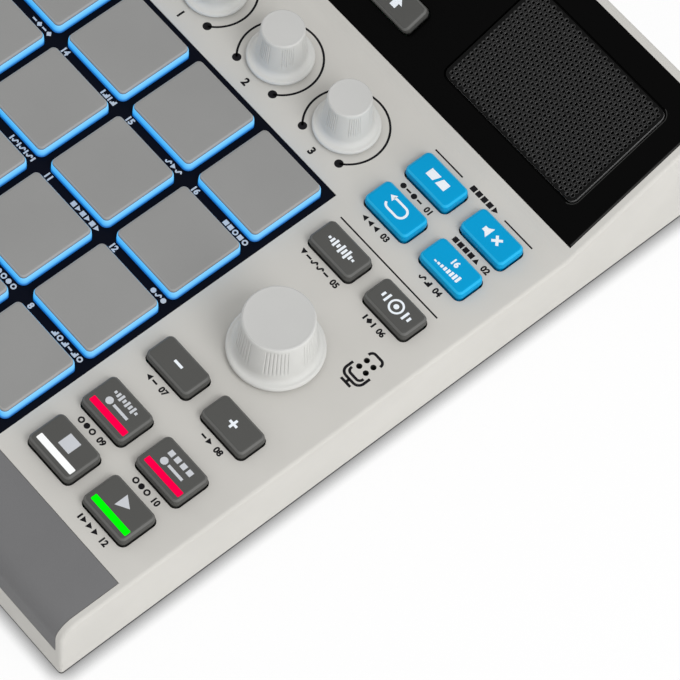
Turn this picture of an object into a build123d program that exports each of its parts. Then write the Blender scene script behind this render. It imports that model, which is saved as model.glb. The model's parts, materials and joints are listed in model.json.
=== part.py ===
from build123d import *
import math
import os

# Driving dimensions in millimetres. X runs to the right, Y to the back, Z up.

# Pad field
pad_columns = 4
pad_rows = 4
pad_pitch_x = 30.0
pad_pitch_y = 30.36
pad_base = 26.4
pad_top = 25.2
pad_rise = 3.9
pad_corner = 2.0
pad_edge = 0.9
pad_travel = 0.8
pad_flange_lip = 1.1
pad_flange_thick = 1.2
pad_plunger = 18.0

# Dark sheet round the pads, with a strip for the pad numbers in front
bezel_margin = 2.5
bezel_strip = 1.4
bezel_thick = 1.2
bezel_ledge = 1.0

# Across the casing, from the left wall to the right wall
left_margin = 6.55
bezel_to_buttons = 6.45
button_width = 18.3
button_column_gap = 5.8
right_margin = 9.9

# Along the casing, from the front to the back
palm_depth = 22.1
palm_to_bezel = 2.65
knob_deck_depth = 37.55
slope_run = 58.6
slope_angle = 21.5

# Casing
foot_height = 2.5
cover_thick = 2.0
wall_height = 25.8
side_wall = 2.4
top_wall = 2.6
crease_radius = 1.1
bend_radius = 8.0
front_radius = 6.0

# Clearances
slip = 0.3
seam = 0.15
running = 0.05
stop_gap = 0.15
overrun = 5.0

# Push buttons
button_depth = 10.1
transport_depth = 12.9
button_rise = 3.5
button_corner = 1.9
button_edge = 0.9
button_travel = 1.0
button_flange_lip = 0.9
button_flange_thick = 1.0
button_stem_radius = 1.8

# Rows of controls: the upper ones are counted forward from the bend, the lower ones back from the palm rest
pad_play_row_drop = 12.4
loop_row_drop = 15.65
select_row_drop = 21.25
transport_row_rise = 13.7
record_row_rise = 18.85
step_row_rise = 22.1
data_knob_rise = 25.85
knob_row_drop = 20.05

# Boards and what stands on them
board_drop = 8.5
board_thick = 1.6
board_gap = 0.6
board_post_radius = 1.7
switch_width = 6.0
switch_body_height = 2.6
switch_plunger_radius = 1.6
switch_plunger_height = 0.4
pot_width = 10.0
pot_height = 4.5
pot_floor = 0.8
bush_radius = 3.6
stem_radius = 2.6
stem_end_gap = 0.3

# Small knobs
knob_flange_radius = 10.3
knob_flange_thick = 1.6
knob_waist_radius = 7.6
knob_waist_height = 4.6
knob_top_radius = 6.7
knob_height = 16.5
knob_lift = 0.6
knob_edge = 0.9

# Data knob, which turns on its shaft and pushes with it
data_flange_radius = 14.45
data_flange_thick = 1.9
data_waist_radius = 11.9
data_waist_height = 5.6
data_top_radius = 10.75
data_height = 18.6
data_lift = 0.8
data_edge = 1.4
data_push = 0.5
data_encoder_width = 13.0
data_shaft_radius = 3.0
data_shaft_rise = 12.0
data_bush_radius = 4.4

# Slider
fader_travel = 20.0
fader_stem_width = 1.6
fader_stem_length = 4.0
fader_cap_width = 8.0
fader_cap_length = 13.0
fader_cap_height = 7.0
fader_cap_lift = 0.6
fader_cap_corner = 1.0
fader_grip_radius = 9.0
fader_grip_depth = 2.0
fader_track_width = 9.0
fader_track_end = 3.0
fader_track_floor = 1.0

# Microphone
mic_hole_radius = 0.9
mic_hole_pitch = 2.85
mic_aside = 8.35
mic_behind = 16.4
mic_radius = 3.0
mic_height = 3.0

# Black panel on the raked back section
panel_front_gap = 3.9
panel_back_gap = 3.2
panel_side_gap = 2.85
panel_thick = 1.4
panel_side_ledge = 6.0
panel_end_ledge = 3.0
volume_share = 2 / 3
shift_share = 1 / 4
grille_side_margin = 8.5
grille_front_margin = 8.3
grille_back_margin = 8.3
grille_width = 58.0
grille_corner = 3.0
grille_gap = 0.7
grille_frame = 0.5
grille_rise = 0.3
grille_sheet = 0.8
grille_hole_radius = 0.52
grille_hole_pitch = 1.61
grille_hole_margin = 0.2
screen_width = 57.0
screen_side_margin = 9.0
screen_margin = 9.0
lcd_lip = 2.0
display_board_inset = 3.0

# Loudspeaker
speaker_lip = 2.5
speaker_plate = 1.6
speaker_basket_radius = 13.0
speaker_magnet_radius = 10.0
speaker_basket_depth = 6.0
speaker_magnet_depth = 5.0
speaker_cone_radius = 12.0
speaker_cone_depth = 4.0

# Palm rest
palm_thick = 2.4
palm_drop = 14.0
palm_side_gap = 2.5

# Cover, screws and feet
cover_inset = 0.35
rim_thick = 1.5
rim_height = 4.0
boss_radius = 2.6
boss_bite = 0.4
boss_front_inset = 11.0
boss_back_inset = 11.0
screw_radius = 1.0
screw_clearance = 0.15
screw_head_radius = 2.0
screw_head_height = 1.2
screw_bite = 8.0
foot_radius = 7.0
foot_recess = 0.6
foot_inset_x = 17.0
foot_inset_y = 17.0

# Main board, battery and back sockets
main_board_post = 4.0
main_board_post_radius = 2.5
main_board_side_gap = 13.0
main_board_depth = 50.0
battery_width = 66.0
battery_depth = 96.0
battery_height = 10.0
battery_aside = 14.0
battery_corner = 2.0
line_jack_count = 4
line_jack_pitch = 19.0
line_jack_inset = 23.0
line_jack_width = 15.0
line_jack_height = 13.0
line_jack_depth = 24.0
line_jack_bush_radius = 4.8
line_jack_bore_radius = 3.2
line_jack_bore_depth = 20.0
mini_jack_count = 2
mini_jack_pitch = 14.0
mini_jack_gap = 17.0
mini_jack_width = 8.0
mini_jack_height = 7.0
mini_jack_depth = 14.0
mini_jack_bush_radius = 3.0
mini_jack_bore_radius = 1.8
mini_jack_bore_depth = 12.0
usb_gap = 18.0
usb_width = 9.0
usb_height = 3.3
usb_depth = 8.0
usb_shell = 0.4
usb_corner = 1.4
usb_tongue_share = 2 / 3
usb_mouth_share = 1 / 4
power_gap = 20.0
power_width = 10.0
power_height = 5.0
power_sink = 0.3
power_corner = 1.2

# Plan of the casing, worked out from the rows of controls
bezel_width = (pad_columns - 1) * pad_pitch_x + pad_base + 2 * bezel_margin
bezel_depth = (pad_rows - 1) * pad_pitch_y + pad_base + 2 * bezel_margin + bezel_strip
buttons_width = 2 * button_width + button_column_gap
case_width = left_margin + bezel_width + bezel_to_buttons + buttons_width + right_margin
case_depth = palm_depth + palm_to_bezel + bezel_depth + knob_deck_depth + slope_run
left = -case_width / 2
right = case_width / 2
front = -case_depth / 2
back = case_depth / 2
palm_back = front + palm_depth
bezel_left = left + left_margin
bezel_right = bezel_left + bezel_width
bezel_front = palm_back + palm_to_bezel
bezel_back = bezel_front + bezel_depth
bend_y = bezel_back + knob_deck_depth

# Heights
base_z = foot_height + cover_thick
deck_z = base_z + wall_height
back_z = deck_z + slope_run * math.tan(math.radians(slope_angle))
slope_length = slope_run / math.cos(math.radians(slope_angle))
slope = Plane(
    origin=(0, bend_y, deck_z),
    x_dir=(1, 0, 0),
    z_dir=(0, -math.sin(math.radians(slope_angle)), math.cos(math.radians(slope_angle))),
)

# Places of the controls
pad_xs = [bezel_left + bezel_margin + pad_base / 2 + column * pad_pitch_x for column in range(pad_columns)]
pad_back_y = bezel_back - bezel_margin - pad_base / 2
pad_ys = [pad_back_y - (pad_rows - 1 - row) * pad_pitch_y for row in range(pad_rows)]
button_left_x = bezel_right + bezel_to_buttons + button_width / 2
button_right_x = button_left_x + button_width + button_column_gap
pad_play_y = bend_y - pad_play_row_drop
loop_y = pad_play_y - loop_row_drop
select_y = loop_y - select_row_drop
transport_y = palm_back + transport_row_rise
record_y = transport_y + record_row_rise
step_y = record_y + step_row_rise
data_x = (button_left_x + button_right_x) / 2
data_y = step_y + data_knob_rise
knob_row_y = bend_y - knob_row_drop
knob_xs = pad_xs[1:]
fader_x = pad_xs[0]
mic_x = button_right_x + mic_aside
mic_y = data_y + mic_behind

# Black panel in its own frame: x across, s up the slope from the bend
panel_left = left + panel_side_gap
panel_right = right - panel_side_gap
panel_front = panel_front_gap
panel_back = slope_length - panel_back_gap
grille_right = panel_right - grille_side_margin
grille_left = grille_right - grille_width
grille_front = panel_front + grille_front_margin
grille_back = panel_back - grille_back_margin
grille_x = (grille_left + grille_right) / 2
grille_s = (grille_front + grille_back) / 2
grille_depth = grille_back - grille_front
screen_left = panel_left + screen_side_margin
screen_right = screen_left + screen_width
screen_front = panel_front + screen_margin
screen_back = panel_back - screen_margin
screen_x = (screen_left + screen_right) / 2
screen_s = (screen_front + screen_back) / 2
screen_depth = screen_back - screen_front
controls_x = (screen_right + lcd_lip + grille_left - speaker_lip) / 2
volume_s = panel_front + (panel_back - panel_front) * volume_share
shift_s = panel_front + (panel_back - panel_front) * shift_share

# Casing insides and fastening places
wall_left = left + side_wall
wall_right = right - side_wall
wall_front = front + palm_thick + side_wall
wall_back = back - side_wall
boss_x = wall_right - boss_radius + boss_bite
boss_front_y = front + boss_front_inset
boss_middle_y = (data_y + step_y) / 2
boss_back_y = back - boss_back_inset
boss_places = [(side * boss_x, y) for side in (-1, 1) for y in (boss_front_y, boss_middle_y, boss_back_y)]
post_x = (bezel_right + button_left_x - button_width / 2 - slip - button_flange_lip) / 2
post_places = [
    (post_x, knob_row_y),
    (post_x, (select_y + step_y) / 2),
    (post_x, transport_y),
    ((fader_x + knob_xs[0]) / 2, knob_row_y),
    ((knob_xs[0] + knob_xs[1]) / 2, knob_row_y),
    ((knob_xs[1] + knob_xs[2]) / 2, knob_row_y),
]

# Back sockets stand on the main board
main_board_z = base_z + main_board_post
main_board_back = wall_back - stop_gap - button_flange_thick - button_travel - board_gap
socket_z = main_board_z + board_thick
line_jack_xs = [left + line_jack_inset + jack * line_jack_pitch for jack in range(line_jack_count)]
line_jack_z = socket_z + line_jack_height / 2
mini_jack_xs = [line_jack_xs[-1] + mini_jack_gap + jack * mini_jack_pitch for jack in range(mini_jack_count)]
mini_jack_z = socket_z + mini_jack_height / 2
usb_x = mini_jack_xs[-1] + usb_gap
usb_z = socket_z + usb_height / 2 + usb_shell
power_x = usb_x + power_gap
power_z = socket_z + switch_width / 2
socket_mouth_y = back - seam
switch_height = switch_body_height + switch_plunger_height


def block(x0, x1, y0, y1, z0, z1):
    return Pos((x0 + x1) / 2, (y0 + y1) / 2, (z0 + z1) / 2) * Box(x1 - x0, y1 - y0, z1 - z0)


def rod(x, y, z0, z1, radius):
    return Pos(x, y, (z0 + z1) / 2) * Cylinder(radius, z1 - z0)


def rounded_block(x, y, z0, z1, width, depth, corner):
    return Pos(x, y, z0) * extrude(RectangleRounded(width, depth, corner), z1 - z0)


def back_rod(x, z, y0, y1, radius):
    return Pos(x, (y0 + y1) / 2, z) * Rot(90, 0, 0) * Cylinder(radius, y1 - y0)


def back_block(x, z, y0, y1, width, height, corner):
    return Pos(x, y1, z) * Rot(90, 0, 0) * extrude(RectangleRounded(width, height, corner), y1 - y0)


def on_deck(x, y, piece):
    return Pos(x, y, deck_z) * piece


def on_slope(x, s, piece):
    return slope * Pos(x, s, 0) * piece


def top_edges(solid):
    return solid.faces().sort_by(Axis.Z)[-1].edges()


# Casing: a side outline carried across the width, with the long creases rounded
def side_solid(points, rounds, half_width):
    outline = make_face(Polyline(*points, close=True))
    for point, radius in rounds:
        corner = outline.vertices().sort_by_distance(Vector(*point))[0]
        outline = fillet(corner, radius)
    return extrude(Plane.YZ * outline, half_width, both=True)


def casing_outside():
    points = [(front, base_z), (front, deck_z), (bend_y, deck_z), (back, back_z), (back, base_z)]
    rounds = [
        ((front, deck_z), front_radius),
        ((bend_y, deck_z), bend_radius),
        ((back, back_z), crease_radius),
    ]
    solid = side_solid(points, rounds, case_width / 2)
    creases = []
    for face in (solid.faces().sort_by(Axis.X)[0], solid.faces().sort_by(Axis.X)[-1]):
        lowest = face.edges().sort_by(Axis.Z)[0]
        creases += [edge for edge in face.edges() if edge != lowest]
    return fillet(creases, crease_radius)


def casing_hollow():
    slope_drop = top_wall / math.cos(math.radians(slope_angle))
    slope_tangent = math.tan(math.radians(slope_angle))
    ledge_y = palm_back + side_wall
    ceiling = deck_z - top_wall
    bend_inside = bend_y + (slope_drop - top_wall) / slope_tangent
    points = [
        (wall_front, base_z - overrun),
        (wall_front, ceiling - palm_thick),
        (ledge_y, ceiling - palm_thick),
        (ledge_y, ceiling),
        (bend_inside, ceiling),
        (wall_back, deck_z + (wall_back - bend_y) * slope_tangent - slope_drop),
        (wall_back, base_z - overrun),
    ]
    return side_solid(points, [], wall_right)


def palm_skin(grow):
    points = [
        (front + palm_thick + grow, base_z - overrun),
        (front + palm_thick + grow, deck_z - palm_thick - grow),
        (palm_back + overrun, deck_z - palm_thick - grow),
        (palm_back + overrun, base_z - overrun),
    ]
    rounds = [(points[1], front_radius - palm_thick - grow)]
    core = side_solid(points, rounds, right + overrun)
    half_width = right - palm_side_gap + grow
    z0 = deck_z - palm_drop - grow
    return block(-half_width, half_width, front - overrun, palm_back + grow, z0, deck_z + overrun) - core


def panel_slab(side_inset, end_inset, n0, n1):
    return slope * block(
        panel_left + side_inset,
        panel_right - side_inset,
        panel_front + end_inset,
        panel_back - end_inset,
        n0,
        n1,
    )


def button_places():
    return {
        "chop_button": (button_left_x, pad_play_y, button_depth),
        "mute_button": (button_right_x, pad_play_y, button_depth),
        "loop_button": (button_left_x, loop_y, button_depth),
        "levels_button": (button_right_x, loop_y, button_depth),
        "sample_select_button": (button_left_x, select_y, button_depth),
        "tap_tempo_button": (button_right_x, select_y, button_depth),
        "minus_button": (button_left_x, step_y, button_depth),
        "plus_button": (button_right_x, step_y, button_depth),
        "sample_record_button": (button_left_x, record_y, transport_depth),
        "sequence_record_button": (button_right_x, record_y, transport_depth),
        "stop_button": (button_left_x, transport_y, transport_depth),
        "play_button": (button_right_x, transport_y, transport_depth),
    }


def button_hole(depth):
    return rounded_block(
        0, 0, -top_wall - overrun, overrun, button_width + 2 * slip, depth + 2 * slip, button_corner + slip
    )


def fader_slot(height0, height1):
    half_width = fader_stem_width / 2 + slip
    half_length = (fader_travel + fader_stem_length) / 2 + slip
    return block(-half_width, half_width, -half_length, half_length, height0, height1)


def mic_holes():
    half = mic_hole_pitch / 2
    places = [(x, y) for x in (-half, half) for y in (-half, half)]
    return Part() + [rod(x, y, -top_wall - overrun, overrun, mic_hole_radius) for x, y in places]


def casing_top():
    outside = casing_outside()
    floor = -top_wall - overrun
    shell = outside - casing_hollow()
    inside = casing_hollow()
    bosses = [rod(x, y, base_z, back_z, boss_radius) for x, y in boss_places]
    posts = [rod(x, y, deck_z - board_drop, deck_z, board_post_radius) for x, y in post_places]
    shell += [boss & inside for boss in bosses + posts]
    cuts = [outside & palm_skin(seam)]
    cuts += [block(bezel_left - seam, bezel_right + seam, bezel_front - seam, bezel_back + seam,
                   deck_z - bezel_thick, deck_z + overrun)]
    cuts += [block(bezel_left + bezel_ledge, bezel_right - bezel_ledge, bezel_front + bezel_ledge,
                   bezel_back - bezel_ledge, deck_z - top_wall - overrun / 2, deck_z)]
    cuts += [panel_slab(-seam, -seam, -panel_thick, overrun)]
    cuts += [panel_slab(panel_side_ledge, panel_end_ledge, floor, 0)]
    cuts += [on_deck(x, y, button_hole(depth)) for x, y, depth in button_places().values()]
    cuts += [on_deck(x, knob_row_y, rod(0, 0, floor, overrun, bush_radius + slip)) for x in knob_xs]
    cuts += [on_deck(data_x, data_y, rod(0, 0, floor, overrun, data_bush_radius + slip))]
    cuts += [on_deck(fader_x, knob_row_y, fader_slot(floor, overrun))]
    cuts += [on_deck(mic_x, mic_y, mic_holes())]
    cuts += [rod(x, y, base_z - overrun, base_z + screw_bite, screw_radius + screw_clearance)
             for x, y in boss_places]
    cuts += [back_rod(x, line_jack_z, wall_back - overrun, back + overrun, line_jack_bush_radius + slip)
             for x in line_jack_xs]
    cuts += [back_rod(x, mini_jack_z, wall_back - overrun, back + overrun, mini_jack_bush_radius + slip)
             for x in mini_jack_xs]
    cuts += [back_block(usb_x, usb_z, wall_back - overrun, back + overrun,
                        usb_width + 2 * (usb_shell + slip), usb_height + 2 * (usb_shell + slip),
                        usb_corner + usb_shell + slip)]
    cuts += [back_block(power_x, power_z, wall_back - overrun, back + overrun,
                        power_width + 2 * slip, power_height + 2 * slip, power_corner + slip)]
    return shell - cuts


# The top is two mouldings that butt at the bend: the flat deck and the raked back housing
def deck_space():
    return block(left - overrun, right + overrun, front - overrun, bend_y, base_z - overrun, back_z + overrun)


def palm_rest():
    return casing_outside() & palm_skin(0)


def bottom_cover():
    plate = rounded_block(0, 0, foot_height, base_z, case_width - 2 * cover_inset,
                          case_depth - 2 * cover_inset, crease_radius)
    rim_left = wall_left + slip
    rim_right = wall_right - slip
    rim_front = wall_front + slip
    rim_back = wall_back - slip
    rim = block(rim_left, rim_right, rim_front, rim_back, base_z, base_z + rim_height)
    rim -= block(rim_left + rim_thick, rim_right - rim_thick, rim_front + rim_thick, rim_back - rim_thick,
                 base_z, base_z + rim_height + overrun)
    rim -= [rod(x, y, base_z, base_z + rim_height + overrun, boss_radius + slip) for x, y in boss_places]
    cover = plate + rim
    cover += [rod(x, y, base_z, main_board_z, main_board_post_radius) for x, y in main_board_posts()]
    cover -= [rod(x, y, foot_height - overrun, base_z + overrun, screw_radius + screw_clearance)
              for x, y in boss_places]
    sink_radius = screw_head_radius + screw_clearance
    cover -= [rod(x, y, foot_height - overrun, foot_height + screw_head_height, sink_radius)
              for x, y in boss_places]
    cover -= [rod(x, y, foot_height - overrun, foot_height + foot_recess, foot_radius + seam)
              for x, y in foot_places()]
    return cover


def foot_places():
    return [(x * (right - foot_inset_x), y * (back - foot_inset_y)) for x in (-1, 1) for y in (-1, 1)]


def rubber_feet():
    return [rod(x, y, 0, foot_height + foot_recess - seam, foot_radius) for x, y in foot_places()]


def cover_screws():
    head_top = foot_height + screw_head_height - seam
    screws = []
    for x, y in boss_places:
        head = rod(x, y, foot_height, head_top, screw_head_radius)
        shank = rod(x, y, foot_height, base_z + screw_bite - stop_gap, screw_radius)
        screws.append(head + shank)
    return screws


def pad_bezel():
    sheet = block(bezel_left, bezel_right, bezel_front, bezel_back, deck_z - bezel_thick, deck_z)
    width = pad_base + 2 * slip
    z0 = deck_z - bezel_thick - overrun
    holes = [rounded_block(x, y, z0, deck_z + overrun, width, width, pad_corner + slip)
             for x in pad_xs for y in pad_ys]
    return sheet - holes


def pad():
    flange_top = -bezel_thick - stop_gap
    flange_bottom = flange_top - pad_flange_thick
    lean = math.degrees(math.atan2((pad_base - pad_top) / 2, pad_rise))
    crown = extrude(RectangleRounded(pad_base, pad_base, pad_corner), pad_rise, taper=lean)
    crown = fillet(top_edges(crown), pad_edge)
    neck = rounded_block(0, 0, flange_top, 0, pad_base, pad_base, pad_corner)
    flange_width = pad_base + 2 * pad_flange_lip
    flange = rounded_block(0, 0, flange_bottom, flange_top, flange_width, flange_width, pad_corner)
    foot = -board_drop + pad_travel + stop_gap
    plunger = rounded_block(0, 0, foot, flange_bottom, pad_plunger, pad_plunger, pad_corner)
    return crown + neck + flange + plunger


def button(depth):
    flange_top = -top_wall - stop_gap
    flange_bottom = flange_top - button_flange_thick
    foot = -board_drop + switch_height + button_travel + stop_gap
    cap = rounded_block(0, 0, flange_top, button_rise, button_width, depth, button_corner)
    cap = fillet(top_edges(cap), button_edge)
    flange = rounded_block(0, 0, flange_bottom, flange_top, button_width + 2 * button_flange_lip,
                           depth + 2 * button_flange_lip, button_corner)
    stem = rod(0, 0, foot, flange_bottom, button_stem_radius)
    return cap + flange + stem


def tact_switch():
    half = switch_width / 2
    body = block(-half, half, -half, half, 0, switch_body_height)
    return body + rod(0, 0, switch_body_height, switch_height, switch_plunger_radius)


def tact_switches():
    places = button_places().values()
    switches = [on_deck(x, y, Pos(0, 0, -board_drop) * tact_switch()) for x, y, depth in places]
    switches += [on_slope(controls_x, shift_s, Pos(0, 0, -board_drop) * tact_switch())]
    switches += [Pos(power_x, power_switch_y(), power_z) * Rot(-90, 0, 0) * tact_switch()]
    return switches


def knob_body(flange_radius, flange_thick, waist_radius, waist_height, top_radius, height, lift, edge):
    flange_top = lift + flange_thick
    side = Polyline((0, height), (0, lift), (flange_radius, lift), (flange_radius, flange_top))
    hollow = TangentArc((flange_radius, flange_top), (waist_radius, waist_height), tangent=(-1, 0))
    cone = Polyline((waist_radius, waist_height), (top_radius, height), (0, height))
    solid = revolve(Plane.XZ * make_face(side + hollow + cone), Axis.Z)
    return fillet(top_edges(solid), edge)


def small_knob():
    cap = knob_body(knob_flange_radius, knob_flange_thick, knob_waist_radius, knob_waist_height,
                    knob_top_radius, knob_height, knob_lift, knob_edge)
    return cap + rod(0, 0, -board_drop + pot_floor + stem_end_gap, knob_lift, stem_radius)


def pot():
    half = pot_width / 2
    body = block(-half, half, -half, half, -board_drop, -board_drop + pot_height)
    body += rod(0, 0, -board_drop, 0, bush_radius)
    return body - rod(0, 0, -board_drop + pot_floor, overrun, stem_radius + running)


def data_knob():
    cap = knob_body(data_flange_radius, data_flange_thick, data_waist_radius, data_waist_height,
                    data_top_radius, data_height, data_lift, data_edge)
    return cap - rod(0, 0, 0, data_shaft_rise + stem_end_gap, data_shaft_radius + running)


def data_shaft():
    return rod(0, 0, -board_drop + pot_floor + data_push + stop_gap, data_shaft_rise, data_shaft_radius)


def data_encoder():
    half = data_encoder_width / 2
    body = block(-half, half, -half, half, -board_drop, -board_drop + pot_height)
    body += rod(0, 0, -board_drop, 0, data_bush_radius)
    return body - rod(0, 0, -board_drop + pot_floor, overrun, data_shaft_radius + running)


# The four pots and the large knob's encoder
def knob_pots():
    pots = [on_deck(x, knob_row_y, pot()) for x in knob_xs]
    pots += [on_slope(controls_x, volume_s, pot())]
    return pots + [on_deck(data_x, data_y, data_encoder())]


def fader_cap():
    top = fader_cap_lift + fader_cap_height
    cap = rounded_block(0, 0, fader_cap_lift, top, fader_cap_width, fader_cap_length, fader_cap_corner)
    grip_height = top - fader_grip_depth + fader_grip_radius
    cap -= Pos(0, 0, grip_height) * Rot(0, 90, 0) * Cylinder(fader_grip_radius, fader_cap_width + overrun)
    half_width = fader_stem_width / 2
    half_length = fader_stem_length / 2
    foot = -board_drop + fader_track_floor + stem_end_gap
    return cap + block(-half_width, half_width, -half_length, half_length, foot, fader_cap_lift)


def fader_track():
    half_width = fader_track_width / 2
    half_length = (fader_travel + fader_stem_length) / 2 + slip + fader_track_end
    body = block(-half_width, half_width, -half_length, half_length, -board_drop, -top_wall - seam)
    return body - fader_slot(-board_drop + fader_track_floor, overrun)


def mic_capsule():
    return rod(0, 0, -top_wall - seam - mic_height, -top_wall - seam, mic_radius)


def control_board():
    half_width = boss_x - boss_radius - board_gap
    top = deck_z - board_drop
    return block(-half_width, half_width, bezel_front + bezel_ledge, bend_y, top - board_thick, top)


def display_panel():
    sheet = panel_slab(0, 0, -panel_thick, 0)
    cuts = [on_slope(grille_x, grille_s, rounded_block(0, 0, -panel_thick - overrun, overrun,
                                                       grille_width, grille_depth, grille_corner))]
    cuts += [on_slope(screen_x, screen_s, block(-screen_width / 2, screen_width / 2, -screen_depth / 2,
                                                screen_depth / 2, -panel_thick - overrun, overrun))]
    cuts += [on_slope(controls_x, volume_s, rod(0, 0, -panel_thick - overrun, overrun, bush_radius + slip))]
    cuts += [on_slope(controls_x, shift_s, button_hole(button_depth))]
    return sheet - cuts


def screen_window():
    half_width = screen_width / 2 - seam
    half_depth = screen_depth / 2 - seam
    sheet = block(-half_width, half_width, -half_depth, half_depth, -panel_thick, 0)
    return on_slope(screen_x, screen_s, sheet)


def lcd_module():
    half_width = screen_width / 2 + lcd_lip
    half_depth = screen_depth / 2 + lcd_lip / 2
    return on_slope(screen_x, screen_s, block(-half_width, half_width, -half_depth, half_depth,
                                              -board_drop, -panel_thick))


def display_board():
    x0 = screen_left - lcd_lip
    x1 = grille_left - speaker_lip - board_gap
    lean = math.radians(slope_angle)
    depth = board_drop + board_thick
    s1 = (wall_back - board_gap - bend_y - depth * math.sin(lean)) / math.cos(lean)
    return slope * block(x0, x1, panel_front + display_board_inset, s1, -depth, -board_drop)


# Perforated sheet with turned-down edges: holes in columns, every second one shifted by half a pitch
def speaker_grille():
    width = grille_width - 2 * grille_gap
    depth = grille_depth - 2 * grille_gap
    corner = grille_corner - grille_gap
    frame = rounded_block(0, 0, -panel_thick, grille_rise, width, depth, corner)
    inner_width = width - 2 * grille_frame
    inner_depth = depth - 2 * grille_frame
    inner_corner = corner - grille_frame
    frame -= rounded_block(0, 0, -panel_thick - overrun, overrun, inner_width, inner_depth, inner_corner)
    column_pitch = grille_hole_pitch * math.sin(math.radians(60))
    reach_x = inner_width / 2 - grille_hole_margin - grille_hole_radius
    reach_y = inner_depth / 2 - grille_hole_margin - grille_hole_radius
    columns = math.floor(reach_x / column_pitch)
    places = []
    for column in range(-columns, columns + 1):
        shift = grille_hole_pitch / 2 * (column % 2)
        steps = math.floor((reach_y - shift) / grille_hole_pitch)
        start = -steps - column % 2
        x = column * column_pitch
        places += [(x, step * grille_hole_pitch + shift) for step in range(start, steps + 1)]
    outline = RectangleRounded(inner_width, inner_depth, inner_corner).face().outer_wire()
    holes = [Wire.make_circle(grille_hole_radius, Plane(origin=(x, y, 0))) for x, y in places]
    sheet = extrude(Face(outline, holes), grille_sheet)
    sheet = Pos(0, 0, grille_rise - grille_sheet) * sheet
    return on_slope(grille_x, grille_s, frame + sheet)


def speaker_driver():
    top = -panel_thick
    plate_bottom = top - speaker_plate
    basket_bottom = plate_bottom - speaker_basket_depth
    half_width = grille_width / 2 + speaker_lip
    half_depth = grille_depth / 2 + speaker_lip
    driver = block(-half_width, half_width, -half_depth, half_depth, plate_bottom, top)
    driver += rod(0, 0, basket_bottom, plate_bottom, speaker_basket_radius)
    driver += rod(0, 0, basket_bottom - speaker_magnet_depth, basket_bottom, speaker_magnet_radius)
    driver -= Pos(0, 0, top - speaker_cone_depth / 2) * Cone(
        speaker_cone_radius / 2, speaker_cone_radius, speaker_cone_depth
    )
    return on_slope(grille_x, grille_s, driver)


def main_board_posts():
    x = right - main_board_side_gap - main_board_post_radius
    y1 = main_board_back - main_board_post_radius
    y0 = y1 - main_board_depth + 2 * main_board_post_radius
    return [(side * x, y) for side in (-1, 1) for y in (y0, y1)]


def main_board():
    half_width = right - main_board_side_gap
    return block(-half_width, half_width, main_board_back - main_board_depth, main_board_back,
                 main_board_z, socket_z)


def battery_pack():
    y = (pad_ys[0] + pad_ys[-1]) / 2
    pack = rounded_block(-battery_aside, y, base_z, base_z + battery_height, battery_width, battery_depth,
                         battery_corner)
    return fillet(top_edges(pack), battery_corner / 2)


def line_jacks():
    jacks = []
    for x in line_jack_xs:
        y1 = wall_back - slip
        body = block(x - line_jack_width / 2, x + line_jack_width / 2, y1 - line_jack_depth, y1,
                     socket_z, socket_z + line_jack_height)
        body += back_rod(x, line_jack_z, y1, socket_mouth_y, line_jack_bush_radius)
        bore = back_rod(x, line_jack_z, socket_mouth_y - line_jack_bore_depth, socket_mouth_y + overrun,
                        line_jack_bore_radius)
        jacks.append(body - bore)
    return jacks


def mini_jacks():
    jacks = []
    for x in mini_jack_xs:
        y1 = wall_back - slip
        body = block(x - mini_jack_width / 2, x + mini_jack_width / 2, y1 - mini_jack_depth, y1,
                     socket_z, socket_z + mini_jack_height)
        body += back_rod(x, mini_jack_z, y1, socket_mouth_y, mini_jack_bush_radius)
        bore = back_rod(x, mini_jack_z, socket_mouth_y - mini_jack_bore_depth, socket_mouth_y + overrun,
                        mini_jack_bore_radius)
        jacks.append(body - bore)
    return jacks


def usb_socket():
    outer_width = usb_width + 2 * usb_shell
    outer_height = usb_height + 2 * usb_shell
    shell = back_block(usb_x, usb_z, socket_mouth_y - usb_depth, socket_mouth_y, outer_width, outer_height,
                       usb_corner + usb_shell)
    mouth = back_block(usb_x, usb_z, socket_mouth_y - usb_depth + usb_shell, socket_mouth_y + overrun,
                       usb_width, usb_height, usb_corner)
    half_tongue = usb_width * usb_tongue_share / 2
    tongue = block(usb_x - half_tongue, usb_x + half_tongue, socket_mouth_y - usb_depth + usb_shell,
                   socket_mouth_y - usb_depth * usb_mouth_share, usb_z - usb_shell, usb_z + usb_shell)
    return shell - mouth + tongue


def power_switch_y():
    flange_front = wall_back - stop_gap - button_flange_thick
    return flange_front - button_stem_radius - button_travel - stop_gap - switch_height


def power_button():
    flange_back = wall_back - stop_gap
    flange_front = flange_back - button_flange_thick
    cap = back_block(power_x, power_z, flange_back, back - power_sink, power_width, power_height,
                     power_corner)
    flange = back_block(power_x, power_z, flange_front, flange_back, power_width + 2 * button_flange_lip,
                        power_height + 2 * button_flange_lip, power_corner)
    stem = back_rod(power_x, power_z, flange_front - button_stem_radius, flange_front, button_stem_radius)
    return cap + flange + stem


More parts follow.
